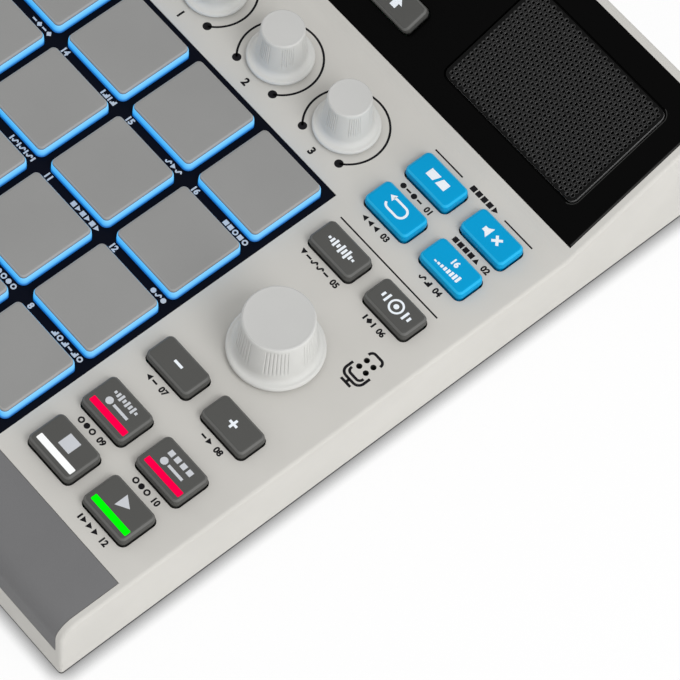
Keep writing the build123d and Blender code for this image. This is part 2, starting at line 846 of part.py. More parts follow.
def pieces():
    shell = casing_top()
    made = {
        "top_case": shell & deck_space(),
        "rear_case": shell - deck_space(),
        "bottom_cover": bottom_cover(),
        "rubber_feet": rubber_feet(),
        "cover_screws": cover_screws(),
        "palm_rest": palm_rest(),
        "pad_bezel": pad_bezel(),
        "display_panel": display_panel(),
        "speaker_grille": speaker_grille(),
        "speaker_driver": speaker_driver(),
        "screen_window": screen_window(),
        "lcd_module": lcd_module(),
        "display_board": display_board(),
        "control_board": control_board(),
        "main_board": main_board(),
        "battery_pack": battery_pack(),
        "tact_switches": tact_switches(),
        "knob_pots": knob_pots(),
        "data_shaft": on_deck(data_x, data_y, data_shaft()),
        "data_knob": on_deck(data_x, data_y, data_knob()),
        "fader_track": on_deck(fader_x, knob_row_y, fader_track()),
        "fader_cap": on_deck(fader_x, knob_row_y, fader_cap()),
        "mic_capsule": on_deck(mic_x, mic_y, mic_capsule()),
        "line_jacks": line_jacks(),
        "mini_jacks": mini_jacks(),
        "usb_socket": usb_socket(),
        "power_button": power_button(),
        "shift_button": on_slope(controls_x, shift_s, button(button_depth)),
        "volume_knob": on_slope(controls_x, volume_s, small_knob()),
    }
    for number, x in enumerate(knob_xs, start=1):
        made[f"knob_{number}"] = on_deck(x, knob_row_y, small_knob())
    for name, (x, y, depth) in button_places().items():
        made[name] = on_deck(x, y, button(depth))
    for row, y in enumerate(pad_ys):
        for column, x in enumerate(pad_xs):
            made[f"pad_{row * pad_columns + column + 1:02d}"] = on_deck(x, y, pad())
    return made


os.makedirs("parts", exist_ok=True)
for name, piece in pieces().items():
    group = Compound(children=piece) if isinstance(piece, list) else piece
    export_step(group, f"parts/{name}.step")
print(f"casing {case_width:.1f} x {case_depth:.1f} x {back_z:.1f} mm, deck at {deck_z:.1f} mm")
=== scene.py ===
import json
import math
import bpy
import numpy as np
from mathutils import Matrix, Vector


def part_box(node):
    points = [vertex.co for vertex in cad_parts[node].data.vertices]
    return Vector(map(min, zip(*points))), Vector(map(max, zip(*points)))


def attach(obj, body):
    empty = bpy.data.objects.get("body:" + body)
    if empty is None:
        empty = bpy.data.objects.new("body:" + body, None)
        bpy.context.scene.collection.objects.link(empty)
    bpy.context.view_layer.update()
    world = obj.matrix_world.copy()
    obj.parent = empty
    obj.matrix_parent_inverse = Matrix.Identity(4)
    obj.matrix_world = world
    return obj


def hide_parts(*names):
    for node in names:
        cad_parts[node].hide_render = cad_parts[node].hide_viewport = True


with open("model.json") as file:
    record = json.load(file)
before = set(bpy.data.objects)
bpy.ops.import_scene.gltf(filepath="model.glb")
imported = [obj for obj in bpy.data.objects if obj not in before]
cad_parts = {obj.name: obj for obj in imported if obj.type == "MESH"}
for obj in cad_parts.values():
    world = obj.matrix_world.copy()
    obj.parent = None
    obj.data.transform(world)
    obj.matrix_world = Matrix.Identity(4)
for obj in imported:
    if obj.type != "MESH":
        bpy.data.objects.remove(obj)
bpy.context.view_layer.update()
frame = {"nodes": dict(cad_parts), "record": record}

mm = 0.001
nodes = frame["nodes"]
joints = {j["name"]: j for j in frame["record"]["behaviour"]["joints"]}
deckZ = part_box("pad_bezel")[1].z
lean = math.asin(joints["volume_turn"]["axis"][1])  # rake of the back section
volumePlace = np.array(joints["volume_turn"]["pos_m"])


def middle(node):
    low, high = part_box(node)
    return (low.x + high.x) / 2, (low.y + high.y) / 2


# Screen colours from 0 to 255 turned into linear ones by the sRGB curve
def srgb(red, green, blue):
    part = np.array([red, green, blue]) / 255
    linear = np.where(part <= 0.04045, part / 12.92, ((part + 0.055) / 1.055) ** 2.4)
    return (*linear.tolist(), 1.0)


# Materials

finishSizes = {  # shared by the finishes below, the relief in mm
    "noiseLow": 0.3, "noiseHigh": 0.7, "detail": 2.0, "slowScale": 35.0, "slowDetail": 3.0,
    "drift": 0.03, "roughDrift": 0.1, "relief": 0.1, "metalSpan": (0.8, 1.25),
}


def newMaterial(name):
    material = bpy.data.materials.new(name)
    material.use_nodes = True
    tree = material.node_tree
    return material, tree, tree.nodes["Principled BSDF"]


def setSockets(node, values):
    for name, value in values.items():
        node.inputs[name].default_value = value


def addNoise(tree, scale, detail=finishSizes["detail"]):
    coords = tree.nodes.new("ShaderNodeTexCoord")
    noise = tree.nodes.new("ShaderNodeTexNoise")
    setSockets(noise, {"Scale": scale, "Detail": detail})
    tree.links.new(coords.outputs["Object"], noise.inputs["Vector"])
    return noise.outputs["Fac"]


# The middle stretch of a noise, spread from low to high
def addRange(tree, value, low, high):
    span = tree.nodes.new("ShaderNodeMapRange")
    setSockets(span, {"From Min": finishSizes["noiseLow"], "From Max": finishSizes["noiseHigh"],
                      "To Min": low, "To Max": high})
    tree.links.new(value, span.inputs["Value"])
    return span.outputs["Result"]


def addMix(tree, factor, first, second):
    mix = tree.nodes.new("ShaderNodeMix")
    mix.data_type = "RGBA"
    mix.inputs["A"].default_value = first
    mix.inputs["B"].default_value = second
    tree.links.new(factor, mix.inputs["Factor"])
    return mix.outputs["Result"]


# Moulded plastic: a fine grain in the bump, with slow drifts of colour and roughness over it
def plastic(name, colour, roughness, grain, bump, specular):
    material, tree, shader = newMaterial(name)
    slow = addNoise(tree, finishSizes["slowScale"], finishSizes["slowDetail"])
    fine = addNoise(tree, grain)
    drift, uneven = finishSizes["drift"], finishSizes["roughDrift"]
    darker = tuple(c * (1 - drift) for c in colour[:3]) + (1.0,)
    lighter = tuple(min(c * (1 + drift), 1.0) for c in colour[:3]) + (1.0,)
    tint = addMix(tree, addRange(tree, slow, 0.0, 1.0), darker, lighter)
    rough = addRange(tree, fine, roughness * (1 - uneven), min(roughness * (1 + uneven), 1.0))
    relief = tree.nodes.new("ShaderNodeBump")
    setSockets(relief, {"Strength": bump, "Distance": finishSizes["relief"] * mm})
    tree.links.new(fine, relief.inputs["Height"])
    tree.links.new(tint, shader.inputs["Base Color"])
    tree.links.new(rough, shader.inputs["Roughness"])
    tree.links.new(relief.outputs["Normal"], shader.inputs["Normal"])
    setSockets(shader, {"Specular IOR Level": specular})
    return material


# Metal: a grain in the roughness over a plain metal base
def metal(name, colour, roughness, grain):
    material, tree, shader = newMaterial(name)
    setSockets(shader, {"Base Color": colour, "Metallic": 1.0})
    smooth, rough = (roughness * share for share in finishSizes["metalSpan"])
    tree.links.new(addRange(tree, addNoise(tree, grain), smooth, rough), shader.inputs["Roughness"])
    return material


litFinish = {"scale": 140.0, "roughness": 0.5, "specular": 0.0}


# Lit plastic: light comes out of the piece, uneven along its length
def lit(name, colour, deep, strength, unlit):
    material, tree, shader = newMaterial(name)
    tint = addMix(tree, addRange(tree, addNoise(tree, litFinish["scale"]), 0.0, 1.0), deep, colour)
    tree.links.new(tint, shader.inputs["Emission Color"])
    setSockets(shader, {"Base Color": unlit, "Emission Strength": strength,
                        "Roughness": litFinish["roughness"], "Specular IOR Level": litFinish["specular"]})
    return material


# The skirt's palest colour is a painted highlight on its +X side, where the light falls
skirtFinish = {
    "height": 2.9, "litSideTint": (120, 206, 255), "strength": 0.92, "unlit": (0.09, 0.12, 0.15, 1.0),
    "shades": [(0.0, (4, 100, 184)), (0.2, (22, 148, 232)), (0.4, (54, 174, 246)), (1.0, (74, 186, 252))],
    "scale": 900.0, "smooth": 0.4, "rough": 0.6, "specular": 0.1,
}


# Lit skirt: dark at its foot, brighter up to its top, and tinted paler on its +X side as a painted highlight,
# where its attribute for that side is 1
def skirtLight(name):
    material, tree, shader = newMaterial(name)
    coords = tree.nodes.new("ShaderNodeTexCoord")
    split = tree.nodes.new("ShaderNodeSeparateXYZ")
    rise = tree.nodes.new("ShaderNodeMapRange")
    setSockets(rise, {"From Min": deckZ, "From Max": deckZ + skirtFinish["height"] * mm})
    tree.links.new(coords.outputs["Object"], split.inputs["Vector"])
    tree.links.new(split.outputs["Z"], rise.inputs["Value"])
    ramp = tree.nodes.new("ShaderNodeValToRGB")
    stops = ramp.color_ramp.elements
    while len(stops) < len(skirtFinish["shades"]):
        stops.new(1.0)
    for stop, (place, colour) in zip(stops, skirtFinish["shades"]):
        stop.position = place
        stop.color = srgb(*colour)
    tree.links.new(rise.outputs["Result"], ramp.inputs["Fac"])
    paintedLitSide = tree.nodes.new("ShaderNodeAttribute")
    paintedLitSide.attribute_name = "paintedLitSide"
    both = tree.nodes.new("ShaderNodeMath")
    both.operation = "MULTIPLY"
    tree.links.new(paintedLitSide.outputs["Fac"], both.inputs[0])
    tree.links.new(rise.outputs["Result"], both.inputs[1])
    side = tree.nodes.new("ShaderNodeMix")
    side.data_type = "RGBA"
    side.inputs["B"].default_value = srgb(*skirtFinish["litSideTint"])
    tree.links.new(ramp.outputs["Color"], side.inputs["A"])
    tree.links.new(both.outputs["Value"], side.inputs["Factor"])
    tree.links.new(side.outputs["Result"], shader.inputs["Emission Color"])
    fine = addRange(tree, addNoise(tree, skirtFinish["scale"]), skirtFinish["smooth"], skirtFinish["rough"])
    tree.links.new(fine, shader.inputs["Roughness"])
    setSockets(shader, {"Base Color": skirtFinish["unlit"], "Emission Strength": skirtFinish["strength"],
                        "Specular IOR Level": skirtFinish["specular"]})
    return material


glassFinish = {"colour": (0.82, 0.86, 0.9, 1.0), "ior": 1.2, "scale": 60.0, "smooth": 0.01, "rough": 0.04}


# Clear sheet: light passes through it, with a faint grain in the roughness
def glass(name):
    material, tree, shader = newMaterial(name)
    setSockets(shader, {"Base Color": glassFinish["colour"], "Transmission Weight": 1.0,
                        "IOR": glassFinish["ior"]})
    fine = addRange(tree, addNoise(tree, glassFinish["scale"]), glassFinish["smooth"], glassFinish["rough"])
    tree.links.new(fine, shader.inputs["Roughness"])
    return material


plastics = {  # colour, roughness, scale of the grain, strength of the bump, specular level
    "casePlastic": ((200, 198, 193), 0.6, 5200.0, 0.10, 0.1),
    "coverPlastic": ((50, 50, 52), 0.55, 3200.0, 0.25, 0.2),
    "footRubber": ((34, 34, 34), 0.85, 2500.0, 0.3, 0.1),
    "palmPlastic": ((113, 113, 114), 0.65, 2600.0, 0.6, 0.15),
    "bezelGloss": ((9, 12, 22), 0.35, 900.0, 0.01, 0.03),
    "panelGloss": ((4, 4, 4), 0.2, 700.0, 0.01, 0.03),
    "grilleMetal": ((13, 13, 13), 0.5, 2600.0, 0.08, 0.06),
    # painted highlight on the grille's cut edges and hole walls
    "grilleWallHighlight": ((128, 128, 128), 0.45, 2600.0, 0.05, 0.3),
    # painted highlight on the rolled rims of the grille's holes
    "grilleRimHighlight": ((72, 72, 72), 0.45, 2600.0, 0.05, 0.2),
    # dark grey painted as a highlight on the dark panel's edge lines and as shade on the walls of the
    # microphone's holes
    "edgeHighlightAndHoleShade": ((50, 50, 49), 0.3, 1200.0, 0.02, 0.1),
    "speakerMetal": ((6, 6, 6), 0.6, 900.0, 0.05, 0.05),
    "blackPlastic": ((22, 22, 23), 0.5, 2600.0, 0.12, 0.15),
    "greyButton": ((80, 80, 78), 0.42, 3800.0, 0.12, 0.15),
    "blueButton": ((0, 154, 208), 0.40, 3800.0, 0.12, 0.08),
    # painted highlights on the buttons' bevels, lighter than their tops
    "greyBevelHighlight": ((98, 98, 96), 0.42, 3800.0, 0.1, 0.18),
    "blueBevelHighlight": ((34, 176, 226), 0.4, 3800.0, 0.08, 0.12),
    "knobPlastic": ((206, 206, 203), 0.5, 4200.0, 0.08, 0.15),
    "knobDisc": ((194, 194, 192), 0.5, 3600.0, 0.12, 0.2),
    "padSilicone": ((146, 146, 145), 0.72, 2600.0, 0.22, 0.12),
    # painted highlight along the bevel of the pad's cap
    "padBevelHighlight": ((160, 160, 159), 0.6, 2600.0, 0.15, 0.2),
    # painted shade: the groove under the pad's cap is darker
    "padGrooveShade": ((96, 118, 158), 0.6, 1500.0, 0.05, 0.1),
    "board": ((22, 84, 48), 0.35, 1800.0, 0.05, 0.4),
    "battery": ((70, 86, 112), 0.3, 1200.0, 0.03, 0.4),
    "darkPrint": ((24, 23, 26), 0.6, 3000.0, 0.03, 0.08),
    "whitePrint": ((234, 240, 246), 0.5, 3000.0, 0.03, 0.2),
    "palePrint": ((198, 201, 206), 0.5, 3000.0, 0.03, 0.2),
    "screenBack": ((10, 18, 32), 0.3, 600.0, 0.01, 0.2),
}
metals = {  # colour, roughness, scale of the grain
    "steel": ((178, 178, 180), 0.34, 900.0),
    "brightMetal": ((205, 205, 208), 0.22, 700.0),
}
lights = {  # colour, deeper colour, strength, colour when unlit
    "redLight": ((255, 0, 76), (248, 0, 72), 1.0, (0.02, 0.0, 0.0, 1.0)),
    "greenLight": ((0, 255, 8), (0, 250, 4), 1.0, (0.0, 0.02, 0.0, 1.0)),
    "whiteLight": ((248, 249, 249), (240, 242, 242), 0.97, (0.1, 0.1, 0.1, 1.0)),
    "screenLight": ((150, 214, 255), (110, 190, 250), 0.8, (0.02, 0.02, 0.02, 1.0)),
}
looks = {"padLight": skirtLight("padLight"), "screenGlass": glass("screenGlass")}
for look, (colour, *finish) in plastics.items():
    looks[look] = plastic(look, srgb(*colour), *finish)
for look, (colour, *finish) in metals.items():
    looks[look] = metal(look, srgb(*colour), *finish)
for look, (colour, deep, *finish) in lights.items():
    looks[look] = lit(look, srgb(*colour), srgb(*deep), *finish)

nodeLooks = {
    "casePlastic": ["top_case", "rear_case"],
    "coverPlastic": ["bottom_cover"],
    "footRubber": ["rubber_feet"],
    "palmPlastic": ["palm_rest"],
    "bezelGloss": ["pad_bezel"],
    "panelGloss": ["display_panel"],
    "grilleMetal": ["speaker_grille"],
    "speakerMetal": ["speaker_driver", "mic_capsule"],
    "screenGlass": ["screen_window"],
    "screenBack": ["lcd_module"],
    "board": ["display_board", "control_board", "main_board"],
    "battery": ["battery_pack"],
    "blackPlastic": ["tact_switches", "fader_track", "line_jacks", "mini_jacks"],
    "greyButton": ["fader_cap", "power_button"],
    "steel": ["cover_screws", "knob_pots", "data_shaft"],
    "brightMetal": ["usb_socket"],
}
for look, dressed in nodeLooks.items():
    for node in dressed:
        nodes[node].data.materials.clear()
        nodes[node].data.materials.append(looks[look])


# Faces of a node that meet a test on their centres and normals take a second material
def reskin(node, look, test):
    mesh = nodes[node].data
    centres, normals = np.zeros(len(mesh.polygons) * 3), np.zeros(len(mesh.polygons) * 3)
    mesh.polygons.foreach_get("center", centres)
    mesh.polygons.foreach_get("normal", normals)
    chosen = test(centres.reshape(-1, 3), normals.reshape(-1, 3))
    mesh.materials.append(looks[look])
    mesh.polygons.foreach_set("material_index", chosen.astype(np.int32))
    mesh.update()


edgeSizes = {"upright": 0.5, "jackFace": 0.1, "micReach": 3.2, "micDepth": 4.0}


# The grille's cut edges and hole walls painted lighter as a highlight, the jacks' metal faces, and the walls
# of the microphone's holes painted darker as shade
def reskinEdges():
    upright = edgeSizes["upright"]
    slopeOut = np.array([0, -math.sin(lean), math.cos(lean)])
    reskin("speaker_grille", "grilleWallHighlight", lambda centres, normals: np.abs(normals @ slopeOut) < upright)
    for jack in ("line_jacks", "mini_jacks"):
        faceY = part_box(jack)[1].y - edgeSizes["jackFace"] * mm
        reskin(jack, "brightMetal", lambda centres, normals: centres[:, 1] > faceY)
    micPlace = np.array(middle("mic_capsule"))
    # painted shade on the walls of the microphone's holes
    reskin("top_case", "edgeHighlightAndHoleShade", lambda centres, normals:
           (np.hypot(*(centres[:, :2] - micPlace).T) < edgeSizes["micReach"] * mm)
           & (np.abs(normals[:, 2]) < upright) & (centres[:, 2] > deckZ - edgeSizes["micDepth"] * mm))


reskinEdges()
print("materials made")


# Surfaces

roundSizes = {"cornerSteps": 8, "barSteps": 6, "discSteps": 32, "leastCorner": 0.35, "sharpAngle": 32.0}
figureSizes = {"thick": 0.05, "heavy": 0.045, "steps": 4}


# Quads of a grid that closes on itself: each point with its next in the row and those of the row above
def gridFaces(rows, columns):
    row, column = np.meshgrid(np.arange(rows - 1), np.arange(columns), indexing="ij")
    following = (column + 1) % columns
    quads = np.stack([row * columns + column, row * columns + following,
                      (row + 1) * columns + following, (row + 1) * columns + column], -1)
    return quads.reshape(-1, 4).tolist()


# Rings stacked into a closed skin: one quad band between rings, with a flat cap below and above
def skin(rings):
    rows, columns = rings.shape[:2]
    faces = gridFaces(rows, columns)
    faces.append(list(range(columns - 1, -1, -1)))
    faces.append(list(range((rows - 1) * columns, rows * columns)))
    bands = np.concatenate([np.repeat(np.arange(rows - 1), columns), [0, rows - 2]])
    return rings.reshape(-1, 3), faces, bands


# Rounded rectangle carried up a profile: each ring is the outline drawn in by the inset at its height
def roundedLoft(width, depth, corner, profile, steps=roundSizes["cornerSteps"]):
    inset, height = np.array(profile, float).T[:, :, None]
    quarter = np.linspace(0, math.pi / 2, steps + 1)
    turn = np.concatenate([quarter + side * math.pi / 2 for side in range(4)])
    signX = np.repeat([1, -1, -1, 1], steps + 1)
    signY = np.repeat([1, 1, -1, -1], steps + 1)
    radius = np.maximum(corner - inset, corner * roundSizes["leastCorner"])
    x = signX * (width / 2 - inset - radius) + radius * np.cos(turn)
    y = signY * (depth / 2 - inset - radius) + radius * np.sin(turn)
    return np.stack([x, y, height + 0 * turn], -1)


# Turned body with flutes: radius = profile radius less flute(angle) * window(height)
def flutedTurn(profile, count, flute, window):
    radius, height = np.array(profile, float).T[:, :, None]
    angle = np.linspace(0, 2 * math.pi, count, endpoint=False)[None, :]
    reach = radius - flute(angle) * window(height)
    return np.stack([reach * np.cos(angle), reach * np.sin(angle), height + 0 * angle], -1)


# Flat plate: an outline lifted from z0 to z1
def plate(outline, z0, z1):
    outline = np.asarray(outline, float)
    ahead = np.roll(outline, -1, 0)
    if np.sum(outline[:, 0] * ahead[:, 1] - ahead[:, 0] * outline[:, 1]) < 0:
        outline = outline[::-1]
    rings = np.stack([np.c_[outline, np.full(len(outline), z)] for z in (z0, z1)])
    return skin(rings)[:2]


# Strip along a path: each point moved half the width to both sides of the path's direction
def strip(path, width, z0, z1):
    path = np.asarray(path, float)
    along = np.gradient(path, axis=0)
    along /= np.linalg.norm(along, axis=1, keepdims=True)
    aside = np.c_[-along[:, 1], along[:, 0]] * width / 2
    return plate(np.concatenate([path - aside, (path + aside)[::-1]]), z0, z1)


# Points at one radius from a centre, from a start to an end angle in degrees
def arc(x, y, radius, start, end, steps):
    turn = np.radians(np.linspace(start, end, steps))
    return np.c_[x + radius * np.cos(turn), y + radius * np.sin(turn)]


def disc(x, y, radius):
    steps = roundSizes["discSteps"]
    return arc(x, y, radius, 0, 360 - 360 / steps, steps)


# Rectangle about a centre, with square or round corners
def bar(x, y, width, depth, corner=0.0):
    if corner == 0.0:
        half = np.array([[-1, -1], [1, -1], [1, 1], [-1, 1]]) / 2
        return half * [width, depth] + [x, y]
    return roundedLoft(width, depth, corner, [(0, 0)], roundSizes["barSteps"])[0][:, :2] + [x, y]


# Figures from the built-in font, scaled to a cap height and centred
def figures(text, x, y, height, z0, z1):
    curve = bpy.data.curves.new("figures", "FONT")
    curve.body = text
    curve.extrude = figureSizes["thick"]
    curve.offset = figureSizes["heavy"]
    curve.resolution_u = figureSizes["steps"]
    holder = bpy.data.objects.new("figures", curve)
    mesh = bpy.data.meshes.new_from_object(holder)
    points = np.zeros(len(mesh.vertices) * 3)
    mesh.vertices.foreach_get("co", points)
    points = points.reshape(-1, 3)
    faces = [list(polygon.vertices) for polygon in mesh.polygons]
    low, high = points.min(0), points.max(0)
    scale = height / (high[1] - low[1])
    flat = (points[:, :2] - (low[:2] + high[:2]) / 2) * scale + [x, y]
    z = np.where(points[:, 2] > 0, z1, z0)
    bpy.data.objects.remove(holder)
    bpy.data.curves.remove(curve)
    bpy.data.meshes.remove(mesh)
    return np.c_[flat, z], faces


def joined(shapes):
    points, faces, start = [], [], 0
    for shape, sides in shapes:
        points.append(shape)
        faces += [[corner + start for corner in side] for side in sides]
        start += len(shape)
    return np.concatenate(points), faces


def onDeck(points, x, y):
    return points * mm + [x, y, deckZ]


# Points x across, s up the slope and n out of it, from the volume knob's centre
def onSlope(points, x=0.0, s=0.0):
    across, up, out = (np.asarray(points) + [x, s, 0]).T * mm
    return np.c_[across, up * math.cos(lean) - out * math.sin(lean),
                 up * math.sin(lean) + out * math.cos(lean)] + volumePlace


# Lowest and highest x, s and n of a node's points on the slope
def slopeReach(node):
    mesh = nodes[node].data
    points = np.zeros(len(mesh.vertices) * 3)
    mesh.vertices.foreach_get("co", points)
    away = (points.reshape(-1, 3) - volumePlace) / mm
    turned = np.c_[away[:, 0], away[:, 1] * math.cos(lean) + away[:, 2] * math.sin(lean),
                   away[:, 2] * math.cos(lean) - away[:, 1] * math.sin(lean)]
    return turned.min(0), turned.max(0)


def piece(name, points, faces, body, skins, bands=None):
    mesh = bpy.data.meshes.new(name)
    mesh.from_pydata(np.asarray(points).tolist(), [], faces)
    for look in skins:
        mesh.materials.append(looks[look])
    if bands is not None:
        mesh.polygons.foreach_set("material_index", np.asarray(bands, np.int32))
    mesh.polygons.foreach_set("use_smooth", np.ones(len(faces), bool))
    mesh.set_sharp_from_angle(angle=math.radians(roundSizes["sharpAngle"]))
    mesh.update()
    shown = bpy.data.objects.new(name, mesh)
    bpy.context.collection.objects.link(shown)
    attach(shown, body)
    return shown


# Pads: a lit skirt, a groove painted dark as shade, and a soft grey cap whose bevel is painted with a
# highlight

padSizes = {  # profiles of inset and height
    "count": 16, "width": 26.4, "corner": 2.0, "bevel": 4,
    "skirt": [(0.0, -2.4), (0.0, 0.0), (0.05, 1.2), (0.12, 2.35), (0.2, 2.7), (0.42, 2.86)],
    "groove": [(0.64, 2.88), (0.64, 2.98)],
    "cap": [(0.52, 3.0), (0.42, 3.1), (0.44, 3.3), (0.52, 3.46), (0.95, 3.8), (1.12, 3.88), (1.35, 3.9),
            (2.4, 3.9)],
}


def makePads():
    profile = padSizes["skirt"] + padSizes["groove"] + padSizes["cap"]
    rings = roundedLoft(padSizes["width"], padSizes["width"], padSizes["corner"], profile)
    points, faces, bands = skin(rings)
    skirtBands = len(padSizes["skirt"]) - 1
    grooveBands = skirtBands + len(padSizes["groove"])
    # the groove between skirt and cap takes the painted shade
    tints = np.where(bands < skirtBands, 1, np.where(bands < grooveBands, 2, 0))
    # the cap's bevel band takes the painted highlight
    tints = np.where(bands == grooveBands + padSizes["bevel"], 3, tints)
    # Painted highlight: a share that is 1 on the +X side of the skirt, where it is tinted paler as if lit
    # from that side
    across = rings[..., 0]
    inward = (across - across.max(1, keepdims=True)) / padSizes["corner"]
    paintedLitSide = np.clip(inward + 1, 0, 1)  # 1 on the +X side
    for number in range(1, padSizes["count"] + 1):
        node = f"pad_{number:02d}"
        shown = piece(f"padCap_{number:02d}", onDeck(points, *middle(node)), faces, node,
                      ["padSilicone", "padLight", "padGrooveShade", "padBevelHighlight"], tints)
        shown.data.attributes.new("paintedLitSide", "FLOAT", "POINT").data.foreach_set("value", paintedLitSide.ravel())
        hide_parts(node)


makePads()
print("pads made")


# Small signs two units across: each a filled outline, or a path that is stroked

signSizes = {"ring": 0.74, "line": 0.5, "gap": 0.42, "swing": 0.6, "ringSteps": 33, "waveSteps": 25}
plusArm = np.array([[0.26, 1.0], [-0.26, 1.0], [-0.26, 0.26]])
quarterTurn = np.array([[0, 1], [-1, 0]])
plusOutline = np.concatenate([plusArm @ np.linalg.matrix_power(quarterTurn, side) for side in range(4)])
signs = {
    "square": bar(0, 0, 1.7, 1.7),
    "bar": bar(0, 0, 0.6, 1.9),
    "dash": bar(0, 0, 1.8, 0.56),
    "disc": disc(0, 0, 0.9),
    "next": [[-0.75, -0.95], [0.95, 0], [-0.75, 0.95]],
    "back": [[0.75, 0.95], [-0.95, 0], [0.75, -0.95]],
    "rise": [[-0.95, -0.8], [0.95, -0.8], [0, 0.9]],
    "fall": [[0.95, 0.8], [-0.95, 0.8], [0, -0.9]],
    "gem": [[0, -1], [1, 0], [0, 1], [-1, 0]],
    "plus": plusOutline,
    "cross": plusOutline @ (np.array([[1, 1], [-1, 1]]) / math.sqrt(2)),
    "step": [[-0.95, -0.9], [0.95, -0.9], [0.95, 0.9], [0.3, 0.9],
             [0.3, 0.3], [-0.3, 0.3], [-0.3, -0.3], [-0.95, -0.3]],
}


# A ring is a stroked circle, a wave one turn of a stroked sine, and any other sign its outline
def sign(kind, x, y, size, z0, z1):
    half = size / 2
    if kind == "ring":
        path = arc(x, y, half * signSizes["ring"], 0, 360, signSizes["ringSteps"])
        return strip(path, half * signSizes["line"], z0, z1)
    if kind == "wave":
        across = np.linspace(-1, 1, signSizes["waveSteps"])
        path = np.c_[across, signSizes["swing"] * np.sin(across * math.pi)] * size / 2 + [x, y]
        return strip(path, half * signSizes["line"], z0, z1)
    return plate(np.array(signs[kind]) * size / 2 + [x, y], z0, z1)


# Half widths of a row's signs, in the signs' own units
def signHalves(kinds):
    return np.array([np.abs(np.array(signs[kind])[:, 0]).max() if kind in signs else 1.0 for kind in kinds])


def rowWidth(kinds, size):
    return (signHalves(kinds).sum() * 2 + (len(kinds) - 1) * signSizes["gap"]) * size / 2


# Row of signs whose last one ends at x
def signRow(kinds, x, y, size, z0, z1):
    halves = signHalves(kinds)
    starts = np.concatenate([[0], np.cumsum(2 * halves + signSizes["gap"])[:-1]]) * size / 2
    centres = x - rowWidth(kinds, size) + starts + halves * size / 2
    return [sign(kind, centre, y, size, z0, z1) for kind, centre in zip(kinds, centres)]


# Push buttons: a foot, an undercut, a wall, a bevel painted lighter as a highlight and a flat top, with a
# raised mark on it

buttonSizes = {  # the profile is of inset and height
    "width": 18.3, "depth": 10.1, "deepDepth": 12.9, "corner": 1.9, "top": 3.5, "bevel": 7,
    "profile": [(0.55, -2.4), (0.55, 0.42), (0.04, 0.85), (0.0, 0.98), (0.05, 1.6), (0.11, 2.5), (0.16, 2.7),
                (0.26, 2.86), (0.82, 3.38), (0.98, 3.47), (1.18, 3.5), (1.35, 3.5), (2.6, 3.5)],
    "inkSink": 0.03, "inkRise": 0.04,
    "light": (0.4, -3.4, 15.0, 2.1, 0.3), "lightRise": 0.03,  # x, y, width, depth and corner
}
# each button colour with the lighter colour painted on its bevel as a highlight
buttonHighlights = {"greyButton": "greyBevelHighlight", "blueButton": "blueBevelHighlight"}
inkLow = buttonSizes["top"] - buttonSizes["inkSink"]
inkHigh = buttonSizes["top"] + buttonSizes["inkRise"]

markSizes = {  # places and outlines from a button's centre
    "loop": (7.4, 4.0, 1.9), "loopLine": 0.75, "loopGap": (13, 20),
    "loopHead": [[-1.6, 0.0], [0.2, -1.25], [0.2, 1.25]],
    "horn": [[-3.6, -0.8], [-2.5, -0.8], [-1.0, -2.0], [-1.0, 2.0], [-2.5, 0.8], [-3.6, 0.8]],
    "cross": ("cross", 2.1, 0, 3.4),
    "chop": [[[-3.6, -1.4], [-0.6, -1.4], [0.3, 1.4], [-3.6, 1.4]],
             [[0.5, -1.4], [4.2, -1.4], [4.2, 1.4], [1.4, 1.4]]],
    "levels": 0.25 * np.arange(2, 10), "levelY": -2.8, "levelWidth": 0.85, "count": ("16", 0.4, 1.35, 2.3),
    "wave": [0.8, 1.7, 2.6, 1.4, 3.2, 2.2, 3.4, 1.5, 0.8],
    "barX": 0.3, "barPitch": 1.25, "barWidth": 0.8,
    "target": 0.3, "targetDisc": 0.85, "targetRing": 2.15, "targetLine": 0.65, "targetSteps": 49,
    "beats": [(-5.4, 1.6), (-3.8, 3.0), (3.8, 3.0), (5.4, 1.6)],
    "minus": (0, 0, 3.3, 0.85), "plus": ("plus", 0, 0, 3.1),
    "record": (-3.2, -0.2, 1.2), "recordBar": (1.6, -0.2, 6.0, 0.9),
    "rowY": 2.85, "sample": [0.9, 1.6, 2.3, 1.3, 2.1, 1.5, 2.3, 0.9],
    "steps": (-3.6, -1.0, 1.6, 4.2), "step": 1.8,
    "stop": (0.4, 1.5, 4.6, 4.6), "play": [[-1.45, -0.55], [2.45, 1.8], [-1.45, 4.15]],
    "shift": [[0, 2.2], [-2.4, -0.2], [-1.1, -0.2], [-1.1, -2.0], [1.1, -2.0], [1.1, -0.2], [2.4, -0.2]],
}


def inked(outlines):
    return [plate(outline, inkLow, inkHigh) for outline in outlines]


# Rounded loop with a gap that an arrow head closes
def loopMark():
    ring = roundedLoft(*markSizes["loop"], [(0, 0)])[0][:, :2]
    end, start = markSizes["loopGap"]
    path = np.concatenate([ring[start:], ring[:end]])
    return [strip(path, markSizes["loopLine"], inkLow, inkHigh)] + inked([markSizes["loopHead"] + path[-1]])


# Bars side by side, centred on a line or standing on one
def barMark(heights, y=0.0, width=markSizes["barWidth"], standing=False):
    places = (np.arange(len(heights)) - (len(heights) - 1) / 2) * markSizes["barPitch"]
    return inked([bar(x + markSizes["barX"], y + (height / 2 if standing else 0), width, height)
                  for x, height in zip(places, heights)])


# Target between two pairs of beats
def tapMark():
    x, width = markSizes["target"], markSizes["barWidth"]
    ring = arc(x, 0, markSizes["targetRing"], 0, 360, markSizes["targetSteps"])
    beats = [bar(x + aside, 0, width, height) for aside, height in markSizes["beats"]]
    return (inked([disc(x, 0, markSizes["targetDisc"])])
            + [strip(ring, markSizes["targetLine"], inkLow, inkHigh)] + inked(beats))


